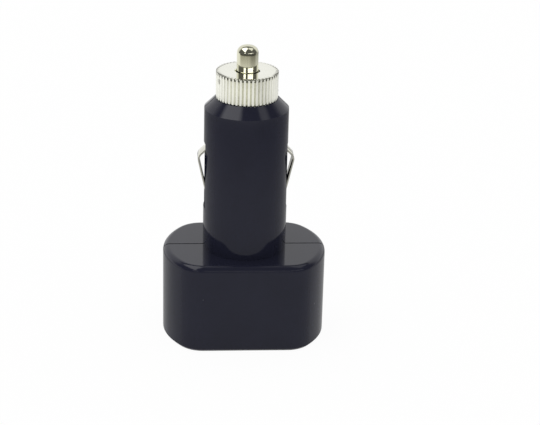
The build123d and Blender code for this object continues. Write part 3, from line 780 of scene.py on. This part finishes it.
def table_white():
    """White table: its own soft shading, mostly covered by a glow where the camera, a mirror or glass sees
    it. The camera sees even white, the others see the glow dimmed by the painted shade that lies there."""
    finish, wire, spot = start_finish("table_white")
    seen = wire.node("LightPath", {}, {}, "Is Camera Ray")
    mirrored = wire.node("LightPath", {}, {}, "Is Glossy Ray")
    through = wire.node("LightPath", {}, {}, "Is Transmission Ray")
    reach = wire.node("VectorMath", {"operation": "LENGTH"}, {0: spot}, "Value")
    aside, forward = (wire.node("SeparateXYZ", {}, {"Vector": spot}, axis) for axis in "XY")
    # Painted shade in the glow: grey in a ring around the plug, bright further out.
    grey = wire.steps(reach, near_shade_reach, near_shade_levels)
    table = grey + wire.steps(reach, bright_reach, (0.0, 1 - near_shade_levels[1]))
    front = wire.steps(forward, front_reach, (0.0, 1.0))
    outside = wire.steps(reach, edge_reach, (0.0, 1.0))
    beyond = outside * front
    # Painted dark stripe in the warm floor beyond the edge, for the leg of a stand; the floor beyond darkens
    # as painted shade.
    leg = beyond * (aside > leg_sides[0]) * (aside < leg_sides[1])
    far_shade = front * wire.steps(reach, far_shade_reach, (0.0, far_shade_cover))
    floor_shading = (1 - beyond * floor_shade_cover) * (1 - leg * leg_shade_cover) * (1 - far_shade)
    # Painted shade on the right, stronger beyond the table's edge.
    right = wire.steps(aside, right_shade_reach, (0.0, 1.0)) * (right_shade_cover + outside * right_floor_shade_cover)
    shade = table * floor_shading * (1 - right)
    paper = wire.noise(spot, scale=30.0, detail=3.0)
    shaded = wire.node("BsdfDiffuse", {}, {"Color": wire.colours(paper, *table_pales)})
    tint = wire.colours(beyond * mirrored, (1, 1, 1, 1), floor_tint)
    level = seen + (mirrored + through) * shade
    glow = wire.node("Emission", {}, {"Color": wire.colours(level, (0, 0, 0, 1), tint)})
    share = wire.math("MAXIMUM", wire.math("MAXIMUM", seen, mirrored), through) * table_glow
    mixed = wire.node("MixShader", {}, {0: share, 1: shaded, 2: glow})
    wire.node("OutputMaterial", {}, {"Surface": mixed})
    return finish


table_corners = np.array([[-1, -1], [1, -1], [1, 1], [-1, 1]]) * table_size / 2
table_points = np.column_stack([table_corners, np.full(4, -table_drop)])
floor_mesh = bpy.data.meshes.new("floor")
floor_mesh.from_pydata(table_points.tolist(), [], [(0, 1, 2, 3)])
floor_mesh.materials.append(table_white())
floor = bpy.data.objects.new("floor", floor_mesh)
bpy.context.scene.collection.objects.link(floor)

# The studio is a white sheet behind the plug and a dark room in front and overhead. Two soft boxes hang
# over the plug, closer together at the back, and two narrow windows lie low in front: they make the patches
# on the shoulder and in the pin. Matt faces get an even fill.
sheet_level = 0.9
sheet_side = (0.2, 0.55)
sheet_top = (0.62, 0.74)
room_level = 0.12
fill_level = 0.95
window_low = 0.285
window_high = 0.335
window_level = 3.0
windows = ((-0.93, -0.4), (0.03, 1.6))
box_rear = (0.45, 0.6)
left_box = {"outer": -0.88, "inner": -0.02, "spread": 0.6, "level": 2.3}
right_box = {"outer": 0.8, "inner": 0.08, "spread": -1.4, "level": 1.0}
box_fade = 0.12

world = bpy.data.worlds.new("studio")
world.use_nodes = True
world.node_tree.nodes.clear()
air = Wire(world.node_tree)
direction = air.node("TexCoord", {}, {}, "Generated")
aside, behind, above = (air.node("SeparateXYZ", {}, {"Vector": direction}, axis) for axis in "XYZ")
ahead = behind * -1.0
sheet = air.steps(behind, sheet_side, (0.0, 1.0)) * air.steps(above, sheet_top, (1.0, 0.0))
panes = [(aside > ahead * left) * (aside < ahead * right) for left, right in windows]
window = (panes[0] + panes[1]) * (above > window_low) * (above < window_high) * (ahead > 0.0)
slope_aside, slope_behind = (air.math("DIVIDE", way, above) for way in (aside, behind))


def soft_box(outer, inner, spread, level):
    """Glow of a soft box overhead, by the slope of the direction aside and behind. It reaches from an outer
    to an inner slope aside, its inner edge leaves the middle by spread times the slope to the front, and
    all edges fade."""
    fade = box_fade if inner > outer else -box_fade
    middle = slope_aside - air.math("MINIMUM", slope_behind, 0.0) * spread
    across = air.steps(slope_aside, (outer - fade, outer + fade), (0.0, level))
    across = across * air.steps(middle, (inner - fade, inner + fade), (1.0, 0.0))
    return across * air.steps(slope_behind, box_rear, (1.0, 0.0)) * (above > 0.0)


camera_sees = air.node("LightPath", {}, {}, "Is Camera Ray")
mirror_sees = air.node("LightPath", {}, {}, "Is Glossy Ray")
glass_sees = air.node("LightPath", {}, {}, "Is Transmission Ray")
room = fill_level + mirror_sees * (room_level - fill_level)
level = room + (sheet_level - room) * sheet
lights = [soft_box(**left_box), soft_box(**right_box), window * mirror_sees * window_level]
for light in (*lights, camera_sees, glass_sees):
    level = air.math("MAXIMUM", level, light)
sky = air.node("Background", {}, {"Color": (1, 1, 1, 1), "Strength": level})
air.node("OutputWorld", {}, {"Surface": sky})
bpy.context.scene.world = world

# The camera stands in front of the plug, a little to the left and above, and leans slightly, as in the
# photograph. The middle of its view lies off the middle of the picture.
picture_width = 540
picture_height = 425
focal_pixels = 1664.0
middle_pixel = (245.1, 189.7)
camera_distance = 0.4
camera_rise = radians(22.09)
camera_swing = radians(3.5)
camera_roll = radians(1.12)
sensor_width = 36.0

aim = np.array([0, 0, cad_box[1].z / 2])
level_back = np.array([-sin(camera_swing), -cos(camera_swing)]) * cos(camera_rise)
back = np.append(level_back, sin(camera_rise))
right = np.cross(-back, [0, 0, 1])
right = right / np.linalg.norm(right)
up = np.cross(right, -back)
leaning_right = cos(camera_roll) * right + sin(camera_roll) * up
leaning_up = cos(camera_roll) * up - sin(camera_roll) * right
eye = bpy.data.cameras.new("camera")
eye.sensor_width = sensor_width
eye.lens = focal_pixels * sensor_width / picture_width
eye.shift_x = (picture_width / 2 - middle_pixel[0]) / picture_width
eye.shift_y = (middle_pixel[1] - picture_height / 2) / picture_width
eye.clip_start = 0.01
camera = bpy.data.objects.new("camera", eye)
camera_place = np.eye(4)
camera_place[:3] = np.column_stack([leaning_right, leaning_up, back, aim + back * camera_distance])
camera.matrix_world = Matrix(camera_place.tolist())
bpy.context.scene.collection.objects.link(camera)
bpy.context.scene.camera = camera
bpy.context.scene.view_settings.view_transform = "Standard"
